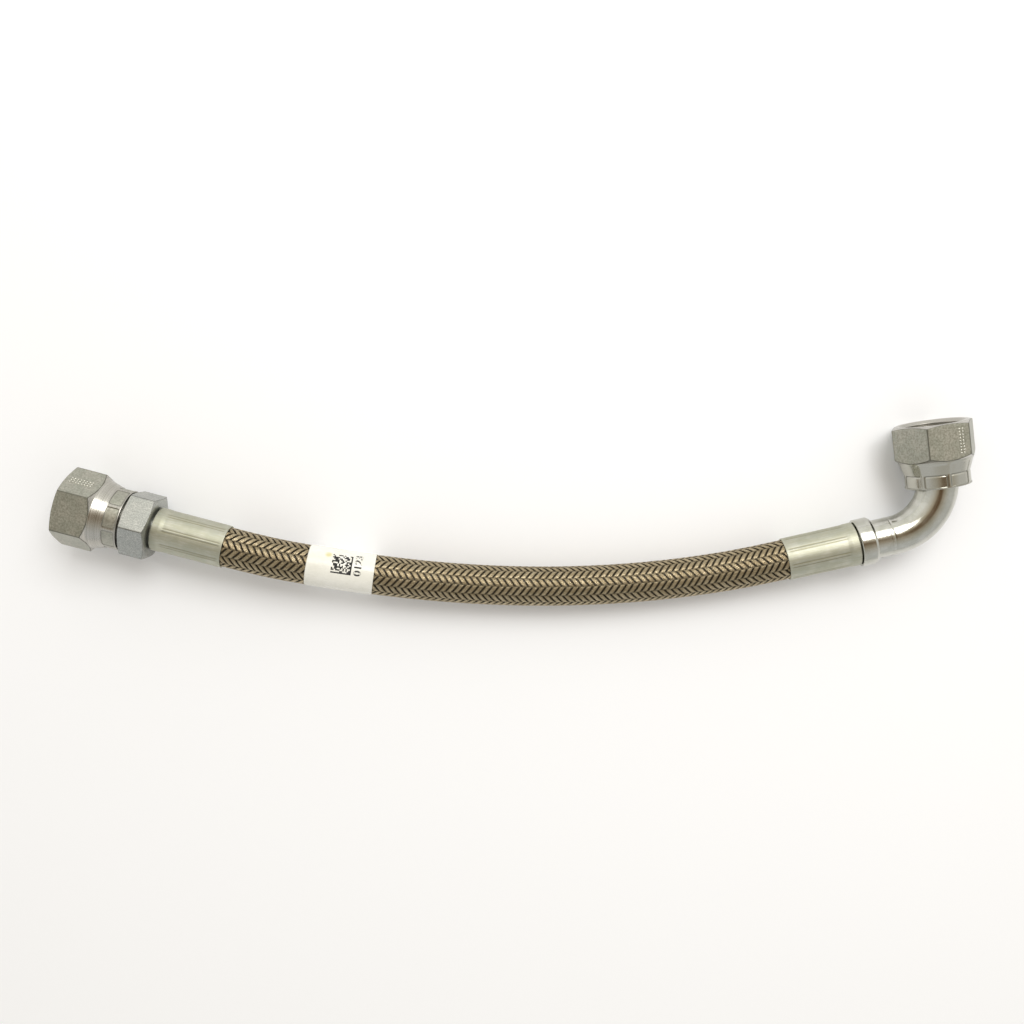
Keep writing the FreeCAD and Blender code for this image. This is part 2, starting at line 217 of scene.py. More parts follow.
def ferrule_material():
    s = Shader("ferrule_zinc")
    place = s.place()
    crease = s.mask("edge")
    broad = s.noise(place, 0.17, 3.0)
    streak = s.noise(s.stretched(place, (0.12, 1.6, 1.6)), 1.0, 5.0, 0.6)
    grain = s.noise(place, 3.0, 6.0, 0.7)
    colour = s.blend(s.between(broad, 0.35, 0.65), (0.52, 0.53, 0.45), (0.61, 0.61, 0.53))
    colour = s.blend(s.between(streak, 0.62, 0.42, 0.0, 0.5), colour, (0.47, 0.46, 0.33))
    colour = s.blend(s.between(grain, 0.5, 0.3, 0.0, 0.35), colour, (0.38, 0.37, 0.29))
    # Painted shade in the shallow grooves beside each crease, and lightly on the crease itself.
    colour = s.blend(s.math("MULTIPLY", crease, 0.7), colour, (0.26, 0.24, 0.15))
    roughness = s.between(grain, 0.3, 0.7, 0.46, 0.58)
    height = s.math("ADD", s.math("MULTIPLY", grain, 0.4), s.math("MULTIPLY", streak, 0.35))
    return s.finish(colour, roughness, s.bump(height, 0.04))


def elbow_material():
    s = Shader("elbow_zinc")
    place = s.place()
    broad = s.noise(place, 0.14, 4.0)
    streak = s.noise(s.stretched(place, (0.10, 1.1, 1.1)), 1.0, 4.0, 0.6)
    grain = s.noise(place, 3.2, 5.0, 0.7)
    colour = s.blend(s.between(broad, 0.35, 0.65), (0.54, 0.54, 0.48), (0.64, 0.635, 0.585))
    colour = s.blend(s.between(grain, 0.48, 0.30, 0.0, 0.5), colour, (0.42, 0.40, 0.34))
    roughness = s.between(streak, 0.3, 0.7, 0.10, 0.22)
    height = s.math("ADD", s.math("MULTIPLY", grain, 0.10), s.math("MULTIPLY", streak, 0.5))
    return s.finish(colour, roughness, s.bump(height, 0.03))


def wire_material():
    s = Shader("braid_wire")
    place = s.place()
    tone = s.mask("tone")
    grain = s.noise(s.stretched(place, (0.25, 1.0, 1.0)), 0.6, 3.0)
    colour = s.blend(tone, (0.46, 0.385, 0.25), (0.62, 0.53, 0.37))
    colour = s.blend(s.between(grain, 0.35, 0.65, 0.0, 0.35), colour, (0.36, 0.27, 0.15))
    # Painted shade: wires that dip under the crossing carriers, and each carrier's outer wires, are darkened
    # almost to black as if shadowed.
    colour = s.blend(s.between(s.mask("gap_shade"), 0.10, 0.75, 0.0, 0.94), colour, (0.035, 0.026, 0.015))
    roughness = s.between(grain, 0.3, 0.7, 0.22, 0.32)
    return s.finish(colour, roughness, s.bump(grain, 0.004))


def liner_material():
    s = Shader("liner_dark")
    place = s.stretched(s.add("ShaderNodeTexCoord", {}, "Object"), (1000.0, 1000.0, 1000.0))
    cloud = s.noise(place, 0.4, 4.0)
    colour = s.blend(cloud, (0.025, 0.022, 0.018), (0.06, 0.05, 0.04))
    return s.finish(colour, s.between(cloud, 0.3, 0.7, 0.35, 0.5), s.bump(cloud, 0.05), 0.0)


def braze_material():
    s = Shader("braze_ring")
    place = s.stretched(s.add("ShaderNodeTexCoord", {}, "Object"), (1000.0, 1000.0, 1000.0))
    cloud = s.noise(place, 1.2, 5.0)
    colour = s.blend(s.between(cloud, 0.35, 0.65), (0.54, 0.535, 0.475), (0.63, 0.625, 0.575))
    return s.finish(colour, s.between(cloud, 0.3, 0.7, 0.14, 0.24), s.bump(cloud, 0.01))


SMUDGE = (51.5, 6.2, 8.2)         # on the label, in its own millimetres


def label_material():
    s = Shader("label_film")
    place = s.place()
    cloud = s.noise(place, 0.10, 4.0)
    smear = s.noise(s.stretched(place, (0.35, 1.0, 1.0)), 0.42, 5.0, 0.65)
    scratch = s.noise(s.stretched(place, (0.25, 3.0, 3.0)), 1.0, 5.0, 0.7)
    weave = s.noise(place, 0.55, 2.0)
    colour = s.blend(s.between(cloud, 0.3, 0.7), (0.76, 0.75, 0.68), (0.82, 0.81, 0.75))
    colour = s.blend(s.between(scratch, 0.60, 0.72, 0.0, 0.4), colour, (0.50, 0.49, 0.45))
    from_smudge = s.add("ShaderNodeVectorMath", {0: place, 1: SMUDGE}, "Value", operation="DISTANCE")
    smudge = s.math("MULTIPLY", s.between(from_smudge, 0.6, 2.6, 0.8, 0.0), s.between(smear, 0.35, 0.6))
    colour = s.blend(smudge, colour, (0.62, 0.56, 0.22))
    roughness = s.between(smear, 0.3, 0.7, 0.20, 0.34)
    return s.finish(colour, roughness, s.bump(weave, 0.12), 0.0)


def ink_material():
    s = Shader("label_ink")
    place = s.place()
    patchy = s.noise(place, 2.5, 4.0)
    colour = s.blend(s.between(patchy, 0.5, 0.75), (0.012, 0.012, 0.012), (0.10, 0.10, 0.095))
    return s.finish(colour, s.between(patchy, 0.3, 0.7, 0.3, 0.45), s.bump(patchy, 0.01), 0.0)


def floor_material():
    s = Shader("floor_paper")
    place = s.add("ShaderNodeTexCoord", {}, "Object")
    cloud = s.noise(place, 6.0, 4.0)
    colour = s.blend(cloud, (0.925, 0.935, 0.965), (0.93, 0.94, 0.97))
    s.surface.inputs["Specular IOR Level"].default_value = 0.2
    return s.finish(colour, s.between(cloud, 0.3, 0.7, 0.75, 0.85), s.bump(cloud, 0.1), 0.0)


# ---------------------------------------------------------------------------------------------
# Mesh building
# ---------------------------------------------------------------------------------------------


def new_piece(name, points, faces, material, masks=None):
    """A smooth mesh object from points in metres. masks are named values at each point."""
    mesh = bpy.data.meshes.new(name)
    mesh.from_pydata(points.tolist(), [], faces)
    mesh.polygons.foreach_set("use_smooth", [True] * len(mesh.polygons))
    for key, values in (masks or {}).items():
        if values.ndim == 2:
            attribute = mesh.attributes.new(key, "FLOAT_VECTOR", "POINT")
            attribute.data.foreach_set("vector", values.astype(np.float32).ravel())
        else:
            attribute = mesh.attributes.new(key, "FLOAT", "POINT")
            attribute.data.foreach_set("value", values.astype(np.float32).ravel())
    mesh.materials.append(material)
    piece = bpy.data.objects.new(name, mesh)
    bpy.context.scene.collection.objects.link(piece)
    return piece


def grid_faces(rows, columns, close_rows, first=0):
    """Quads over a grid whose columns close on themselves, and whose rows may too."""
    last = rows if close_rows else rows - 1
    row = np.arange(last)[:, None]
    column = np.arange(columns)[None, :]
    across = (column + 1) % columns
    down = (row + 1) % rows
    here = row * columns
    below = down * columns
    corners = [here + column, here + across, below + across, below + column]
    return (np.stack(corners, axis=-1).reshape(-1, 4) + first).tolist()


def standing(origin, direction):
    """The matrix that stands a part along direction, with its Z as upright as it can be."""
    side = Vector((0.0, 0.0, 1.0)).cross(direction).normalized()
    up = direction.cross(side)
    turn = Matrix((direction, side, up)).transposed().to_4x4()
    return Matrix.Translation(origin) @ turn


def moved(points, matrix):
    """Points in millimetres in a part's own frame, as metres in the row frame."""
    turn = np.array(matrix.to_3x3())
    return points * MM @ turn.T + np.array(matrix.translation)


def outline_rows(corners, fillet_rows=5):
    """Points round a closed outline. Each corner is (x, radius, fillet, row spacing after it)."""
    rows = []
    count = len(corners)
    arcs = []
    for k in range(count):
        here = np.array(corners[k][:2], float)
        before = np.array(corners[k - 1][:2], float) - here
        after = np.array(corners[(k + 1) % count][:2], float) - here
        before_length = np.linalg.norm(before)
        after_length = np.linalg.norm(after)
        before /= before_length
        after /= after_length
        half = math.acos(np.clip(before @ after, -1.0, 1.0)) / 2
        reach = min(corners[k][2] / math.tan(half), 0.45 * before_length, 0.45 * after_length)
        fillet = reach * math.tan(half)
        centre = here + (before + after) / np.linalg.norm(before + after) * fillet / math.sin(half)
        start = here + before * reach - centre
        end = here + after * reach - centre
        sweep = math.pi - 2 * half
        arc = []
        for step in np.linspace(0.0, 1.0, fillet_rows):
            mix = math.sin((1 - step) * sweep) * start + math.sin(step * sweep) * end
            arc.append(centre + mix / math.sin(sweep))
        arcs.append(arc)
    for k in range(count):
        rows += arcs[k]
        start = arcs[k][-1]
        end = arcs[(k + 1) % count][0]
        length = np.linalg.norm(end - start)
        steps = max(1, math.ceil(length / corners[k][3]))
        shares = list(np.linspace(0.0, 1.0, steps + 1)[1:-1])
        support = 0.15 / length
        if length > 0.8:
            shares = [support] + [t for t in shares if support < t < 1 - support] + [1 - support]
        rows += [start + (end - start) * t for t in shares]
    return np.array(rows)


def soft_min(a, b, width):
    """The lower of two surfaces, rounded off where they meet."""
    share = np.clip(0.5 + 0.5 * (b - a) / width, 0.0, 1.0)
    return b * (1 - share) + a * share - width * share * (1 - share)


def smooth_step(value, low, high):
    share = np.clip((value - low) / (high - low), 0.0, 1.0)
    return share * share * (3 - 2 * share)


def column_angles(columns_per_side, crowding, corner_at):
    """Angles round a part, closer together near the six corners of its hexagon."""
    share = np.arange(columns_per_side) / columns_per_side
    share = share - crowding * np.sin(2 * math.pi * share) / (2 * math.pi)
    sides = [corner_at + math.pi / 3 * (k + share) for k in range(6)]
    return np.concatenate(sides)


def hexagon_radius(angles, flats, corner_at, rounding=0.5):
    """The radius of a hexagon's side at each angle, with rounded corners."""
    off_centre = (angles - corner_at) % (math.pi / 3) - math.pi / 6
    near = flats / 2 / np.cos(off_centre)
    far = flats / 2 / np.cos(math.pi / 3 - np.abs(off_centre))
    return soft_min(near, far, rounding)


def lathe(name, corners, place, material, body, node, angles, shape=None):
    """A turned part from its closed outline, shaped further by a function of x, radius and angle."""
    rows = outline_rows(corners)
    x = np.repeat(rows[:, :1], len(angles), axis=1)
    radius = np.repeat(rows[:, 1:], len(angles), axis=1)
    around = np.repeat(angles[None, :], len(rows), axis=0)
    masks = {"turned": np.ones_like(x), "edge": np.zeros_like(x)}
    if shape is not None:
        radius, changed = shape(x, radius, around)
        masks.update(changed)
    points = np.stack([x, radius * np.cos(around), radius * np.sin(around)], axis=-1).reshape(-1, 3)
    values = {key: value.ravel() for key, value in masks.items()}
    values["local"] = points
    faces = grid_faces(len(rows), len(angles), close_rows=True)
    piece = new_piece(name, moved(points, place), faces, material, values)
    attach(piece, body)
    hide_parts(node)
    return piece


# ---------------------------------------------------------------------------------------------
# The hose: route, woven braid, liner and label
# ---------------------------------------------------------------------------------------------

ROUTE = [
    (-0.14488, -0.02375, 0.01745),
    (-0.12557, -0.02892, 0.01745),
    (-0.10120, -0.03360, 0.01640),
    (-0.07690, -0.03780, 0.01450),
    (-0.05250, -0.04130, 0.01250),
    (-0.02820, -0.04380, 0.01100),
    (-0.00390, -0.04520, 0.01025),
    (0.02050, -0.04550, 0.01010),
    (0.04480, -0.04470, 0.01010),
    (0.06920, -0.04290, 0.01010),
    (0.09350, -0.03990, 0.01040),
    (0.11775, -0.03570, 0.01139),
    (0.13715, -0.03097, 0.01261),
]

CARRIERS = 14                     # each way round
WIRES = 7                         # side by side in each carrier
WIRE_R = 0.15
WIRE_SPACING = 0.355              # along the hose, from one wire of a carrier to the next
BRAID_PITCH = 47.6
BRAID_MIDDLE_R = 9.70
BRAID_LIFT = 0.20
BRAID_CROWN = 0.05                # how much prouder a carrier's middle wire lies than its outer ones
OUTER_WIRE_SHADE = 0.45         # how much painted shade darkens the wires at a carrier's edges, in the gaps between carriers
BRAID_START = math.radians(2.17)  # where carriers cross, from upright
WEAVE_START = math.radians(4.25)  # where carriers change between over and under
BRAID_TUCK = 3.0                  # how far the wires run on inside each ferrule
TUCK_TAPER = 0.30                 # the crimped ferrule closes in by this much a millimetre
WIRE_STEPS = 620
WIRE_SIDES = 6


def route_line():
    """Points along the smooth line through the route, in millimetres."""
    curve = bpy.data.curves.new("hose_route", "CURVE")
    curve.dimensions = "3D"
    curve.resolution_u = 24
    spline = curve.splines.new("NURBS")
    spline.points.add(len(ROUTE) - 1)
    for point, place in zip(spline.points, ROUTE):
        point.co = (*place, 1.0)
    spline.order_u = 3
    spline.use_endpoint_u = True
    holder = bpy.data.objects.new("hose_route", curve)
    mesh = bpy.data.meshes.new_from_object(holder)
    line = np.array([vertex.co for vertex in mesh.vertices], float)
    bpy.data.objects.remove(holder)
    bpy.data.curves.remove(curve)
    bpy.data.meshes.remove(mesh)
    return line / MM


class Route:
    """The hose's centreline, with a frame that doesn't twist, read at any distance along it."""

    def __init__(self, line):
        self.line = line
        tangents = np.gradient(line, axis=0)
        tangents /= np.linalg.norm(tangents, axis=1, keepdims=True)
        up = np.array([0.0, 0.0, 1.0])
        sides = []
        for tangent in tangents:
            up = up - tangent * (up @ tangent)
            up = up / np.linalg.norm(up)
            sides.append(up)
        self.tangents = tangents
        self.ups = np.array(sides)
        steps = np.linalg.norm(np.diff(line, axis=0), axis=1)
        self.along = np.concatenate([[0.0], np.cumsum(steps)])
        self.length = self.along[-1]

    def read(self, table, distance):
        return np.stack([np.interp(distance, self.along, table[:, k]) for k in range(3)], axis=-1)

    def point(self, distance, angle, radius):
        """Points at a distance along the hose, an angle from upright towards +Y, and a radius."""
        tangent = self.read(self.tangents, distance)
        up = self.read(self.ups, distance)
        side = np.cross(up, tangent)
        past = distance - np.clip(distance, 0.0, self.length)
        centre = self.read(self.line, distance) + tangent * past[..., None]
        outward = up * np.cos(angle)[..., None] + side * np.sin(angle)[..., None]
        return centre + outward * radius[..., None], outward


ROUTE_LINE = Route(route_line())


def wire_points(direction, carrier, wire):
    """One wire's centreline, the direction away from the hose's axis at each point, and its painted shade
    where it dips under or lies at a carrier's edge.
    """
    start = -BRAID_TUCK
    end = ROUTE_LINE.length + BRAID_TUCK
    distance = np.linspace(start, end, WIRE_STEPS)
    shift = (wire - (WIRES - 1) / 2) * WIRE_SPACING
    turn = 2 * math.pi / BRAID_PITCH
    angle = direction * (turn * (distance - shift) + 2 * math.pi * carrier / CARRIERS) + BRAID_START
    wave = np.cos(CARRIERS / 2 * (angle + WEAVE_START))
    lift = direction * np.tanh(2.4 * wave) / math.tanh(2.4)
    off_middle = 2 * wire / (WIRES - 1) - 1
    radius = BRAID_MIDDLE_R + BRAID_LIFT * lift + BRAID_CROWN * (1 - off_middle ** 2)
    outside = distance - np.clip(distance, 0.0, ROUTE_LINE.length)
    radius = radius - TUCK_TAPER * np.abs(outside)
    middle, outward = ROUTE_LINE.point(distance, angle, radius)
    return middle, outward, np.maximum((1 - lift) / 2, OUTER_WIRE_SHADE * off_middle ** 6)


def braid_piece(index, material, chance):
    """Two carriers of wires, one each way round the hose."""
    points = []
    faces = []
    tones = []
    gap_shades = []
    local = []
    ring = np.arange(WIRE_SIDES) * 2 * math.pi / WIRE_SIDES
    for direction in (1, -1):
        for wire in range(WIRES):
            middle, outward, depth = wire_points(direction, index, wire)
            tangent = np.gradient(middle, axis=0)
            tangent /= np.linalg.norm(tangent, axis=1, keepdims=True)
            beside = np.cross(tangent, outward)
            beside /= np.linalg.norm(beside, axis=1, keepdims=True)
            outward = np.cross(beside, tangent)
            circle = outward[:, None] * np.cos(ring)[None, :, None]
            circle = circle + beside[:, None] * np.sin(ring)[None, :, None]
            tube = (middle[:, None] + circle * WIRE_R).reshape(-1, 3)
            first = sum(len(part) for part in points)
            points.append(tube)
            faces += grid_faces(WIRE_STEPS, WIRE_SIDES, False, first)
            faces.append([first + side for side in reversed(range(WIRE_SIDES))])
            last = first + (WIRE_STEPS - 1) * WIRE_SIDES
            faces.append([last + side for side in range(WIRE_SIDES)])
            tones.append(np.full(len(tube), chance.random()))
            local.append(tube)
            gap_shades.append(np.repeat(depth, WIRE_SIDES))
    # The third mask is painted shade for the hollows and gaps of the weave.
    values = {"tone": np.concatenate(tones), "local": np.concatenate(local), "gap_shade": np.concatenate(gap_shades)}
    return new_piece(f"braid_wires_{index + 1:02d}", np.concatenate(points) * MM, faces, material, values)


LABEL_START = 41.5
LABEL_END = 75.0
LABEL_INNER_R = 10.13
LABEL_OUTER_R = 10.30
LABEL_OVERLAP = 0.10              # step where the film laps over itself
LABEL_SEAM = math.radians(-150.0)


def label_radius(angle):
    """The film winds once round, so it is a little further out where it laps over itself."""
    return LABEL_OUTER_R + LABEL_OVERLAP * ((angle - LABEL_SEAM) % (2 * math.pi)) / (2 * math.pi)


def label_sleeve(material):
    columns = 240
    rows = 70
    angle = LABEL_SEAM + (np.arange(columns) + 0.5) * 2 * math.pi / columns
    inward = [(LABEL_START, LABEL_INNER_R)]
    outward = []
    for share in np.linspace(0.0, 1.0, rows):
        inward.append((LABEL_START + (LABEL_END - LABEL_START) * share, LABEL_INNER_R))
        outward.append((LABEL_END + (LABEL_START - LABEL_END) * share, None))
    points = []
    local = []
    for distance, fixed in inward[1:] + outward:
        radius = label_radius(angle) if fixed is None else np.full(columns, fixed)
        at = np.full(columns, distance)
        points.append(ROUTE_LINE.point(at, angle, radius)[0])
        local.append(np.stack([at, radius * np.cos(angle), radius * np.sin(angle)], axis=-1))
    faces = grid_faces(2 * rows, columns, close_rows=True)
    values = {"local": np.concatenate(local)}
    return new_piece("label_film", np.concatenate(points) * MM, faces, material, values)


# The printed patch. Distances run along the hose and round it from where the camera looks, in mm.
PRINT_ANGLE = math.radians(7.4)
PRINT_PROUD = 0.02
BLOCK_MODULES = 14
BLOCK_MODULE = 0.72
BLOCK_START = (53.7, -1.2)
DIGITS = "0123"
DIGIT_HEIGHT = 3.7
DIGITS_LENGTH = 11.2
DIGITS_START = (68.6, -1.2)


def printed(name, spots, faces, material):
    """Flat shapes laid on the label. spots are (along the hose, round it) in millimetres."""
    spots = np.array(spots, float)
    angle = PRINT_ANGLE + spots[:, 1] / LABEL_OUTER_R
    radius = label_radius(angle) + PRINT_PROUD
    points = ROUTE_LINE.point(spots[:, 0], angle, radius)[0]
    local = np.stack([spots[:, 0], spots[:, 1], np.zeros(len(spots))], axis=-1)
    piece = new_piece(name, points * MM, faces, material, {"local": local})
    thick = piece.modifiers.new("film", "SOLIDIFY")
    thick.thickness = PRINT_PROUD * MM * 0.9
    thick.offset = -1.0
    return piece


def print_block(material):
    """A square of random modules, which stands for a printed code and holds none."""
    chance = random.Random(5)
    spots = []
    faces = []
    for row in range(BLOCK_MODULES):
        for column in range(BLOCK_MODULES):
            border = row == 0 or column == BLOCK_MODULES - 1
            if not (border or chance.random() < 0.55):
                continue
            first = len(spots)
            for across, up in ((0, 0), (1, 0), (1, 1), (0, 1)):
                along = BLOCK_START[0] + (column + across) * BLOCK_MODULE
                spots.append((along, BLOCK_START[1] + (row + up) * BLOCK_MODULE))
            faces.append([first, first + 1, first + 2, first + 3])
    return printed("label_block", spots, faces, material)


def print_digits(material):
    """Plain counting digits, running round the hose."""
    text = bpy.data.curves.new("digits", "FONT")
    text.body = DIGITS
    text.size = DIGIT_HEIGHT
    text.offset = 0.025 * DIGIT_HEIGHT
    holder = bpy.data.objects.new("digits", text)
    mesh = bpy.data.meshes.new_from_object(holder)
    flat = np.array([vertex.co[:2] for vertex in mesh.vertices])
    flat = (flat - flat.min(axis=0)) / np.ptp(flat, axis=0)
    spots = []
    for across, up in flat:
        spots.append((DIGITS_START[0] - up * DIGIT_HEIGHT, DIGITS_START[1] + across * DIGITS_LENGTH))
    faces = [list(polygon.vertices) for polygon in mesh.polygons]
    bpy.data.objects.remove(holder)
    bpy.data.curves.remove(text)
    bpy.data.meshes.remove(mesh)
    return printed("label_digits", spots, faces, material)


def make_hose():
    wire = wire_material()
    chance = random.Random(11)
    braid = [braid_piece(index, wire, chance) for index in range(CARRIERS)]
    film = label_sleeve(label_material())
    ink = ink_material()
    prints = [print_block(ink), print_digits(ink)]
    for piece in braid:
        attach(piece, "hose_assembly")
        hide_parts("wire_braid")
    for piece in [film] + prints:
        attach(piece, "hose_assembly")
    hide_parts("id_label")


make_hose()

# ---------------------------------------------------------------------------------------------
# The fittings
# ---------------------------------------------------------------------------------------------

PLAIN = 1.5                       # spacing of rows where nothing changes
FINE = 0.22
THREAD_MIDDLE = 8.25 * MM         # from a nut's mouth to the middle of its thread


def mouth(name):
    """A nut's mouth, and the direction from there into the fitting, from the thread's mount."""
    for mount in frame["record"]["mounts"]:
        if mount["name"] == name:
            out = Vector(mount["axis"])
            return Vector(mount["pos_m"]) + out * THREAD_MIDDLE, -out
    raise ValueError(name)


MOUTH_A, AXIS_A = mouth("thread_a")
MOUTH_B, INTO_B = mouth("thread_b")
FERRULE_A = Vector(ROUTE[0])
FERRULE_B = Vector(ROUTE[-1])
FERRULE_AXIS_B = (Vector(ROUTE[-1]) - Vector(ROUTE[-2])).normalized()

NUT_FLATS = 34.9
NUT_CORNERS_AT = 0.0
THREAD_PITCH = 25.4 / 12
THREAD_START = 1.5
THREAD_END = 15.0
THREAD_MINOR_R = 13.93
THREAD_DEPTH = 1.15
PADS = 8
PAD_HALF_ANGLE = math.radians(19.25)
PAD_TURN_A = math.radians(12.0)
PAD_TURN_B = math.radians(3.5)
PAD_START = 24.5
PAD_END = 30.6
PAD_DEPTH = 0.3
PAD_R = 15.4
PAD_CORNER = 0.9
CONE_DENT_B = 0.2                 # depth of the flats on nut B's cone
RINGS_LEFT_A = 1.0                # how strongly the lathe's rings show behind each hexagon
RINGS_LEFT_B = 0.1
MARK_STEP = 1.45
MARK_HEIGHT = 0.32
MARK_LONG = 1.15
MARK_WIDE = 0.55
MARK_FIRST = 3.2                  # from the nut's mouth

NUT_OUTLINE = [
    (0.0, 16.7, 0.15, 0.12),
    (1.2, 20.3, 0.3, PLAIN),
    (15.8, 20.3, 0.3, 0.14),
    (17.8, 17.5, 1.2, 0.45),
    (24.3, 15.5, 1.5, FINE),
    (31.3, 15.5, 0.4, 0.6),
    (31.3, 12.3, 0.2, PLAIN),
    (23.3, 12.3, 0.2, PLAIN),
    (21.0, 14.6, 0.3, PLAIN),
    (THREAD_END, 14.6, 0.2, 0.5),
    (THREAD_END, THREAD_MINOR_R, 0.2, 0.17),
    (THREAD_START, THREAD_MINOR_R, 0.2, 0.4),
    (0.0, 15.4, 0.12, 0.5),
]


def thread_cut(x, around):
    """How far the internal thread is cut into its wall."""
    place = (x / THREAD_PITCH - around / (2 * math.pi)) % 1.0
    from_root = np.abs(place - 0.5) * THREAD_PITCH
    flank = THREAD_DEPTH * math.tan(math.radians(30.0))
    depth = np.clip((0.13 + flank - from_root) / flank, 0.0, 1.0) * THREAD_DEPTH
    run_in = smooth_step(x, THREAD_START, THREAD_START + THREAD_PITCH)
    run_out = 1 - smooth_step(x, THREAD_END - 0.6 * THREAD_PITCH, THREAD_END)
    return depth * run_in * run_out


def crimp_pads(x, around, ridge_turn, cone_depth):
    """How far the crimping dies pressed the skirt in: flat pads with rounded corners."""
    from_middle = np.abs((around - ridge_turn) % (2 * math.pi / PADS) - math.pi / PADS)
    beyond_side = (from_middle - PAD_HALF_ANGLE) * PAD_R
    middle = (PAD_START + PAD_END) / 2
    beyond_end = np.abs(x - middle) - (PAD_END - PAD_START) / 2
    past_side = np.maximum(beyond_side + PAD_CORNER, 0.0)
    past_end = np.maximum(beyond_end + PAD_CORNER, 0.0)
    out = np.hypot(past_side, past_end) - PAD_CORNER
    pad = 1 - smooth_step(out, -0.25, 0.25)
    on_cone = smooth_step(x, 18.6, 19.6) * (1 - smooth_step(x, 24.8, 25.6))
    dent = on_cone * (1 - smooth_step(beyond_side, -0.35, 0.35))
    return PAD_DEPTH * pad + cone_depth * dent, np.exp(-((out / 0.22) ** 2))


def nut_shape(ridge_turn, cone_depth, ring_strength):
    def shape(x, radius, around):
        outside = radius > 15.45
        outside |= (x > 23.0) & (radius > 14.8)
        hexagon = hexagon_radius(around, NUT_FLATS, NUT_CORNERS_AT)
        cut = soft_min(radius, hexagon, 0.25)
        dents, outline = crimp_pads(x, around, ridge_turn, cone_depth)
        on_skirt = outside & (x > 18.0) & (x < 31.2)
        shaped = np.where(outside, cut, radius) - np.where(on_skirt, dents, 0.0)
        in_thread = ~outside & (x > THREAD_START) & (x < THREAD_END) & (radius < 14.5)
        shaped = shaped + np.where(in_thread, thread_cut(x, around), 0.0)
        # The edge mask marks where painted shade goes: the hexagon's corners and where its flats meet the
        # turned cone.
        edge = np.exp(-(((radius - hexagon) / 0.30) ** 2))
        off_corner = np.abs((around - NUT_CORNERS_AT + math.pi / 6) % (math.pi / 3) - math.pi / 6)
        on_hexagon = outside & (x > 1.0) & (x < 17.0) & (radius > hexagon - 0.3)
        edge = np.maximum(edge, np.exp(-((off_corner * hexagon / 0.28) ** 2)) * on_hexagon)
        edge = np.where(outside & (x < 18.0), edge, 0.0)
        turned = np.where(outside, smooth_step(hexagon - radius, -0.1, 0.15), 1.0)
        pressed = np.clip(dents / PAD_DEPTH, 0.0, 1.0) * on_skirt
        turned = turned * (1 - 0.9 * pressed) * np.where(on_skirt, ring_strength, 1.0)
        polished = np.where(on_skirt, 1 - ring_strength, 0.0)
        # Painted shade round the outlines of the crimp pads, where the skirt is pressed in.
        edge = np.maximum(edge, 0.8 * on_skirt * outline)
        return shaped, {"edge": edge, "turned": turned, "polished": polished}

    return shape


def raised_marks(name, place, material, body, flat_angle, across_at, size, seed):
    """Rows of small raised ticks on one flat, plain marks that spell nothing."""
    count, rows = size
    chance = random.Random(seed)
    out = np.array([0.0, math.cos(flat_angle), math.sin(flat_angle)])
    beside = np.array([0.0, -math.sin(flat_angle), math.cos(flat_angle)])
    points = []
    faces = []
    for k in range(count):
        for row in range(rows):
            turn = chance.choice((0.0, 0.7, 1.57, 2.3))
            centre_x = MARK_FIRST + MARK_STEP * k
            centre_y = across_at + MARK_STEP * row
            first = len(points)
            for height, share in ((-0.05, 1.0), (MARK_HEIGHT, 0.55)):
                for end, edge in ((-1, -1), (1, -1), (1, 1), (-1, 1)):
                    long = end * share * MARK_LONG / 2
                    wide = edge * share * MARK_WIDE / 2
                    x = centre_x + long * math.cos(turn) - wide * math.sin(turn)
                    y = centre_y + long * math.sin(turn) + wide * math.cos(turn)
                    points.append(np.array([x, 0.0, 0.0]) + beside * y + out * (NUT_FLATS / 2 + height))
            faces.append([first + corner for corner in (3, 2, 1, 0)])
            faces.append([first + corner for corner in (4, 5, 6, 7)])
            for side in range(4):
                after = (side + 1) % 4
                faces.append([first + side, first + after, first + 4 + after, first + 4 + side])
    points = np.array(points)
    piece = new_piece(name, moved(points, place), faces, material, {"local": points})
    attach(piece, body)


def make_nuts():
    material = nut_material()
    angles = column_angles(54, 0.5, NUT_CORNERS_AT)
    place_a = standing(MOUTH_A, AXIS_A)
    place_b = standing(MOUTH_B, INTO_B)
    shape_a = nut_shape(PAD_TURN_A, 0.0, RINGS_LEFT_A)
    shape_b = nut_shape(PAD_TURN_B, CONE_DENT_B, RINGS_LEFT_B)
    lathe("nut_a", NUT_OUTLINE, place_a, material, "nut_a", "swivel_nut_a", angles, shape_a)
    lathe("nut_b", NUT_OUTLINE, place_b, material, "nut_b", "swivel_nut_b", angles, shape_b)
    # The marks' material carries a painted glint, far brighter than the nut's flats.
    glint_paint = mark_material()
    raised_marks("nut_a_marks", place_a, glint_paint, "nut_a", math.radians(30.0), -1.2, (8, 3), 3)
    raised_marks("nut_b_marks", place_b, glint_paint, "nut_b", math.radians(90.0), -6.6, (9, 2), 4)


NIPPLE_R = 6.95
NIPPLE_BORE_R = 5.6
NIPPLE_TIP = 4.0


def nipple_corners():
    """The barbed nipple and the groove for the ferrule's lip, from the tip back."""
    corners = [(NIPPLE_TIP, NIPPLE_R - 0.7, 0.1, PLAIN), (NIPPLE_TIP + 1.0, NIPPLE_R, 0.1, PLAIN)]
    for tooth in range(6):
        start = 7.0 + 3.6 * tooth
        corners.append((start, NIPPLE_R, 0.05, PLAIN))
        corners.append((start, NIPPLE_R - 0.5, 0.05, PLAIN))
        corners.append((start + 1.8, NIPPLE_R, 0.05, PLAIN))
    corners += [
        (30.9, NIPPLE_R, 0.1, PLAIN), (30.9, 8.6, 0.1, PLAIN),
        (32.5, 8.6, 0.1, PLAIN), (32.5, 7.6, 0.1, PLAIN),
        (34.9, 7.6, 0.1, PLAIN), (34.9, 8.6, 0.1, PLAIN),
    ]
    return corners


STEM_HEX_FLATS = 30.2
STEM_HEX_START = 36.5
STEM_HEX_END = 49.6
STEM_CORNERS_AT = math.radians(30.0)


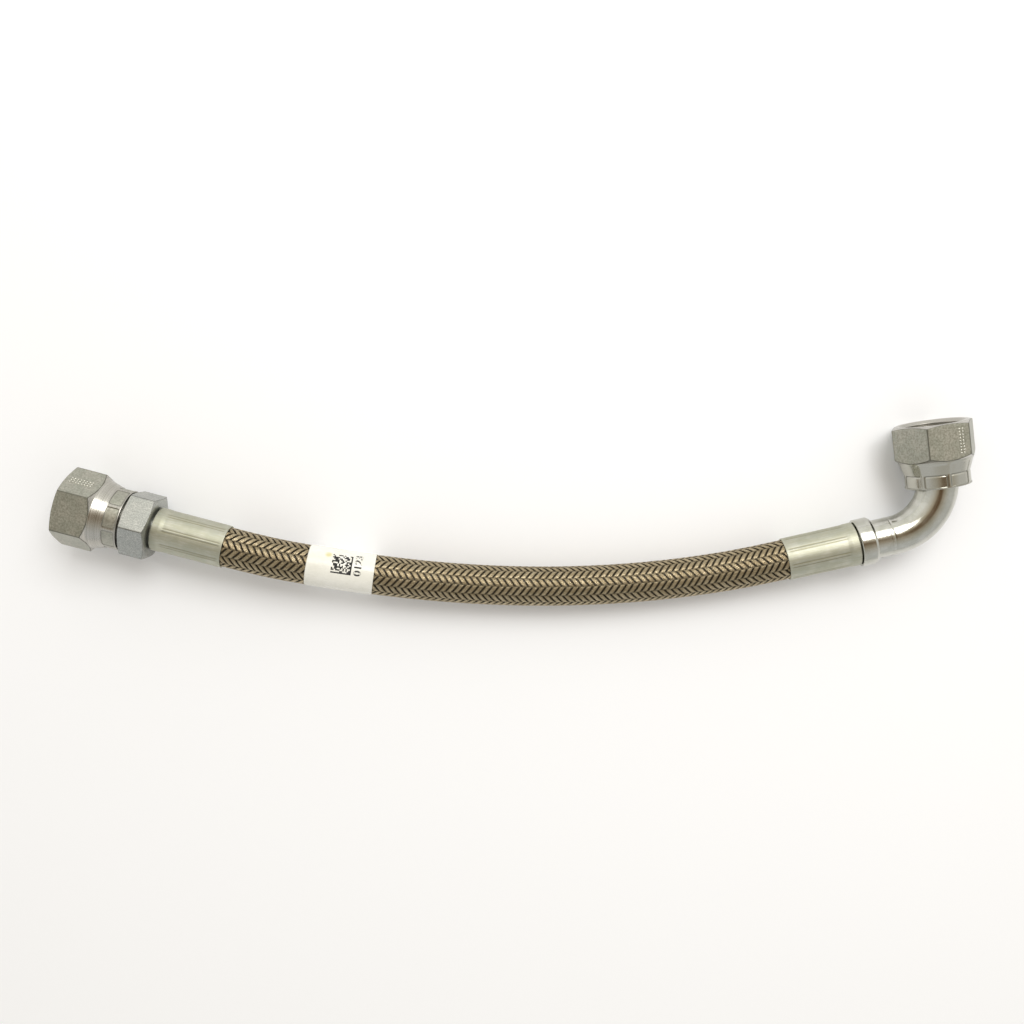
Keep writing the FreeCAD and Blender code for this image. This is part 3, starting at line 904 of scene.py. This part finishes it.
def stem_shape(x, radius, around):
    """The straight stem's hexagon, cut from the turned blank."""
    on_hexagon = (x > STEM_HEX_START - 0.01) & (x < STEM_HEX_END + 0.01) & (radius > 12.6)
    hexagon = hexagon_radius(around, STEM_HEX_FLATS, STEM_CORNERS_AT, 0.35)
    shaped = np.where(on_hexagon, soft_min(radius, hexagon, 0.25), radius)
    # The edge mask marks painted shade along the hexagon's corners and where its flats meet the turned ends.
    off_corner = np.abs((around - STEM_CORNERS_AT + math.pi / 6) % (math.pi / 3) - math.pi / 6)
    edge = np.exp(-(((radius - hexagon) / 0.25) ** 2))
    on_side = (x > STEM_HEX_START + 0.6) & (x < STEM_HEX_END - 0.6) & (radius > hexagon - 0.3)
    edge = np.maximum(edge, np.exp(-((off_corner * hexagon / 0.25) ** 2)) * on_side)
    edge = np.where(on_hexagon, edge, 0.0)
    turned = np.where(on_hexagon, smooth_step(hexagon - radius, -0.1, 0.15), 1.0)
    return shaped, {"edge": edge, "turned": turned}


def make_stem_a():
    corners = nipple_corners() + [
        (STEM_HEX_START, 8.6, 0.1, 0.8),
        (STEM_HEX_START, 14.4, 0.15, 0.14),
        (STEM_HEX_START + 0.85, 17.5, 0.3, PLAIN),
        (STEM_HEX_END - 0.85, 17.5, 0.3, 0.14),
        (STEM_HEX_END, 14.4, 0.15, 0.8),
        (STEM_HEX_END, 12.22, 0.2, PLAIN),
        (58.9, 12.22, 0.3, PLAIN),
        (61.0, 14.3, 0.3, PLAIN),
        (66.5, 14.3, 0.5, PLAIN),
        (66.5, NIPPLE_BORE_R, 0.4, PLAIN),
        (NIPPLE_TIP, NIPPLE_BORE_R, 0.2, 0.5),
    ]
    angles = column_angles(54, 0.5, STEM_CORNERS_AT)
    place = standing(FERRULE_A, -AXIS_A)
    material = stem_material()
    lathe("stem_straight", corners, place, material, "hose_assembly", "stem_a", angles, stem_shape)


FERRULE_R = 10.75
FERRULE_OUTLINE = [
    (0.0, 10.1, 0.08, 0.2),
    (0.0, FERRULE_R, 0.22, 0.6),
    (30.0, FERRULE_R, 2.0, 0.3),
    (32.0, 11.0, 1.5, 0.4),
    (35.6, 11.0, 0.35, 0.4),
    (35.6, 9.2, 0.2, PLAIN),
    (34.7, 9.2, 0.1, PLAIN),
    (34.7, 7.6, 0.1, PLAIN),
    (32.7, 7.6, 0.1, PLAIN),
    (32.7, 8.9, 0.1, PLAIN),
    (4.0, 8.9, 0.5, PLAIN),
]
DIES = 8
FIRST_CREASE_A = math.radians(103.0)
FIRST_CREASE_B = math.radians(101.0)


def ferrule_shape(first_crease):
    def shape(x, radius, around):
        """The crimping dies leave shallow flats with a narrow raised crease between them, and painted shade
        goes in the grooves beside each crease.
        """
        outside = radius > 10.3
        place = (around - first_crease) % (2 * math.pi / DIES)
        place = np.minimum(place, 2 * math.pi / DIES - place) * FERRULE_R
        crimped = smooth_step(x, 0.8, 2.0) * (1 - smooth_step(x, 29.0, 31.5))
        crease = np.exp(-((place / 0.32) ** 2)) * crimped
        beside = np.exp(-(((place - 0.75) / 0.30) ** 2)) * crimped
        flat = (1 - np.cos(place / FERRULE_R * DIES)) * 0.5
        change = 0.09 * crease - 0.05 * beside + 0.05 * flat * crimped - 0.05 * crimped
        # Painted shade for the grooves beside each crease, and a little for the crease itself.
        crease_shade = np.where(outside, np.maximum(beside, 0.25 * crease), 0.0)
        return radius + np.where(outside, change, 0.0), {"edge": crease_shade}

    return shape


def make_ferrules():
    material = ferrule_material()
    angles = np.arange(400) * 2 * math.pi / 400
    place_a = standing(FERRULE_A, -AXIS_A)
    place_b = standing(FERRULE_B, FERRULE_AXIS_B)
    shape_a = ferrule_shape(FIRST_CREASE_A)
    shape_b = ferrule_shape(FIRST_CREASE_B)
    pieces = [
        ("ferrule_straight", place_a, "ferrule_a", shape_a),
        ("ferrule_elbow", place_b, "ferrule_b", shape_b),
    ]
    for name, place, node, shape in pieces:
        lathe(name, FERRULE_OUTLINE, place, material, "hose_assembly", node, angles, shape)


TUBE_R = 9.7
TUBE_BORE_R = 7.7
SPIGOT_END = 52.0
STRAIGHT_AFTER_SEAM = 2.7
BEND_RADIUS = 26.5
SOCKET_BOTTOM = 18.5
WELD_PREP = 0.8


def make_stem_b(material):
    corners = nipple_corners() + [
        (36.2, 8.6, 0.1, 0.8),
        (36.2, 11.95, 0.6, PLAIN),
        (42.9, 11.95, 0.2, 0.3),
        (44.1, 11.15, 0.2, 0.4),
        (44.1, TUBE_R, 0.25, PLAIN),
        (SPIGOT_END - WELD_PREP, TUBE_R, 0.1, 0.4),
        (SPIGOT_END, TUBE_R - WELD_PREP, 0.05, 0.4),
        (SPIGOT_END, TUBE_BORE_R, 0.05, PLAIN),
        (44.0, TUBE_BORE_R, 0.3, PLAIN),
        (40.0, NIPPLE_BORE_R, 0.3, PLAIN),
        (NIPPLE_TIP, NIPPLE_BORE_R, 0.2, 0.5),
    ]
    angles = np.arange(240) * 2 * math.pi / 240
    place = standing(FERRULE_B, FERRULE_AXIS_B)
    lathe("stem_collar", corners, place, material, "hose_assembly", "stem_b", angles)


def make_seat_head(material):
    corners = [
        (15.2, TUBE_BORE_R, 0.3, 0.8),
        (15.2, 14.3, 0.5, PLAIN),
        (20.7, 14.3, 0.3, PLAIN),
        (22.8, 12.22, 0.3, PLAIN),
        (25.6, 12.22, 0.3, 0.5),
        (25.6, TUBE_R, 0.05, PLAIN),
        (SOCKET_BOTTOM, TUBE_R, 0.05, 0.5),
        (SOCKET_BOTTOM, TUBE_BORE_R, 0.05, PLAIN),
    ]
    angles = np.arange(240) * 2 * math.pi / 240
    place = standing(MOUTH_B, INTO_B)
    lathe("seat_head", corners, place, material, "hose_assembly", "seat_head_b", angles)


def make_elbow(material):
    """The bent tube: two straight ends and one arc between the spigot and the sealing head."""
    start = FERRULE_B / MM + FERRULE_AXIS_B * SPIGOT_END
    first = np.array(FERRULE_AXIS_B)
    second = -np.array(INTO_B)
    bend = math.acos(first @ second)
    inward = second - first * (first @ second)
    inward /= np.linalg.norm(inward)
    tangent_length = BEND_RADIUS * math.tan(bend / 2)
    corner = np.array(start) + first * (STRAIGHT_AFTER_SEAM + tangent_length)
    last_straight = (np.array(MOUTH_B) / MM - corner) @ second - tangent_length - SOCKET_BOTTOM
    arc_length = BEND_RADIUS * bend
    stations = np.concatenate([
        np.linspace(0.0, WELD_PREP, 4)[:-1],
        np.linspace(WELD_PREP, STRAIGHT_AFTER_SEAM, 3)[:-1],
        STRAIGHT_AFTER_SEAM + np.linspace(0.0, arc_length, 90)[:-1],
        STRAIGHT_AFTER_SEAM + arc_length + np.linspace(0.0, last_straight, 10),
    ])
    columns = 180
    angles = np.arange(columns) * 2 * math.pi / columns
    across = np.cross(first, inward)
    rows = []
    local = []

    def ring(station, radius):
        turned = np.clip((station - STRAIGHT_AFTER_SEAM) / arc_length, 0.0, 1.0) * bend
        before = min(station, STRAIGHT_AFTER_SEAM)
        after = max(station - STRAIGHT_AFTER_SEAM - arc_length, 0.0)
        ahead = first * math.cos(turned) + inward * math.sin(turned)
        towards = inward * math.cos(turned) - first * math.sin(turned)
        centre = np.array(start) + first * (before + BEND_RADIUS * math.sin(turned))
        centre = centre + inward * BEND_RADIUS * (1 - math.cos(turned)) + ahead * after
        circle = towards[None, :] * np.cos(angles)[:, None] + across[None, :] * np.sin(angles)[:, None]
        rows.append(centre + circle * radius)
        height = np.full(columns, station)
        local.append(np.stack([height, radius * np.cos(angles), radius * np.sin(angles)], axis=-1))

    for station in stations:
        ring(station, min(TUBE_R, TUBE_R - WELD_PREP + station))
    for station in reversed(stations):
        ring(station, TUBE_BORE_R)
    faces = grid_faces(len(rows), columns, close_rows=True)
    values = {"local": np.concatenate(local)}
    piece = new_piece("elbow_bend", np.concatenate(rows) * MM, faces, material, values)
    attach(piece, "hose_assembly")
    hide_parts("elbow_tube")


def finish_cad_nodes():
    """The CAD nodes that stay in view get their own materials."""
    finishes = {"hose_liner": liner_material()}
    braze = braze_material()
    finishes["braze_ring_stem"] = braze
    finishes["braze_ring_head"] = braze
    for name, material in finishes.items():
        mesh = frame["nodes"][name].data
        mesh.materials.clear()
        mesh.materials.append(material)


make_nuts()
make_stem_a()
make_ferrules()
bright = elbow_material()
make_stem_b(bright)
make_seat_head(bright)
make_elbow(bright)
finish_cad_nodes()

# ---------------------------------------------------------------------------------------------
# Floor and light
# ---------------------------------------------------------------------------------------------

FLOOR_RADIUS = 1.6
SWEEP_RADIUS = 0.6


def add_floor():
    """A round pale floor that curves up at its rim."""
    columns = 96
    profile = [(0.01, 0.0), (0.3, 0.0), (0.8, 0.0), (FLOOR_RADIUS, 0.0)]
    for step in range(1, 13):
        angle = math.radians(30.0) * step / 12
        profile.append((FLOOR_RADIUS + SWEEP_RADIUS * math.sin(angle), SWEEP_RADIUS * (1 - math.cos(angle))))
    angles = np.arange(columns) * 2 * math.pi / columns
    points = []
    for radius, height in profile:
        ring = np.stack([radius * np.cos(angles), radius * np.sin(angles), np.full(columns, height)], axis=-1)
        points.append(ring)
    faces = grid_faces(len(profile), columns, close_rows=False)
    faces = [face[::-1] for face in faces]
    faces.append(list(range(columns)))
    floor = new_piece("floor", np.concatenate(points), faces, floor_material())


def add_softbox(name, place, target, width, height, power, colour):
    data = bpy.data.lights.new(name, "AREA")
    data.shape = "RECTANGLE"
    data.size = width
    data.size_y = height
    data.energy = power
    data.color = colour
    light = bpy.data.objects.new(name, data)
    light.location = place
    aim = Vector(target) - Vector(place)
    light.rotation_mode = "QUATERNION"
    light.rotation_quaternion = aim.to_track_quat("-Z", "Y")
    bpy.context.scene.collection.objects.link(light)


def add_world():
    """A plain room: bright on the key light's side, duller and cooler opposite, brown overhead."""
    world = bpy.data.worlds.new("studio")
    bpy.context.scene.world = world
    world.use_nodes = True
    tree = world.node_tree
    place = tree.nodes.new("ShaderNodeTexCoord")
    parts = tree.nodes.new("ShaderNodeSeparateXYZ")
    tree.links.new(place.outputs["Generated"], parts.inputs[0])

    def ramp(source, low, high, stops):
        spread = tree.nodes.new("ShaderNodeMapRange")
        spread.inputs["From Min"].default_value = low
        spread.inputs["From Max"].default_value = high
        colours = tree.nodes.new("ShaderNodeValToRGB")
        tree.links.new(source, spread.inputs[0])
        tree.links.new(spread.outputs[0], colours.inputs[0])
        elements = colours.color_ramp.elements
        elements.remove(elements[1])
        elements[0].position = stops[0][0]
        elements[0].color = (*stops[0][1], 1.0)
        for position, colour in stops[1:]:
            elements.new(position).color = (*colour, 1.0)
        return colours.outputs[0]

    sides = ramp(parts.outputs[1], -1.0, 1.0, [
        (0.12, (0.66, 0.665, 0.665)),
        (0.45, (0.66, 0.655, 0.635)),
        (0.80, (1.00, 0.99, 0.94)),
    ])
    overhead = ramp(parts.outputs[2], 0.0, 1.0, [
        (0.55, (1.0, 1.0, 1.0)),
        (0.86, (0.76, 0.72, 0.64)),
        (0.962, (0.56, 0.47, 0.36)),
        (0.99, (0.20, 0.12, 0.06)),
    ])
    mix = tree.nodes.new("ShaderNodeMix")
    mix.data_type = "RGBA"
    mix.blend_type = "MULTIPLY"
    mix.inputs[0].default_value = 1.0
    tree.links.new(sides, mix.inputs[6])
    tree.links.new(overhead, mix.inputs[7])
    background = tree.nodes["Background"]
    tree.links.new(mix.outputs[2], background.inputs[0])
    background.inputs[1].default_value = 1.15


add_floor()
add_world()
add_softbox("key", (0.3, 0.7, 1.0), (0.0, 0.0, 0.0), 0.8, 0.6, 8.5, (1.0, 0.99, 0.975))
bpy.context.scene.view_settings.view_transform = "Standard"
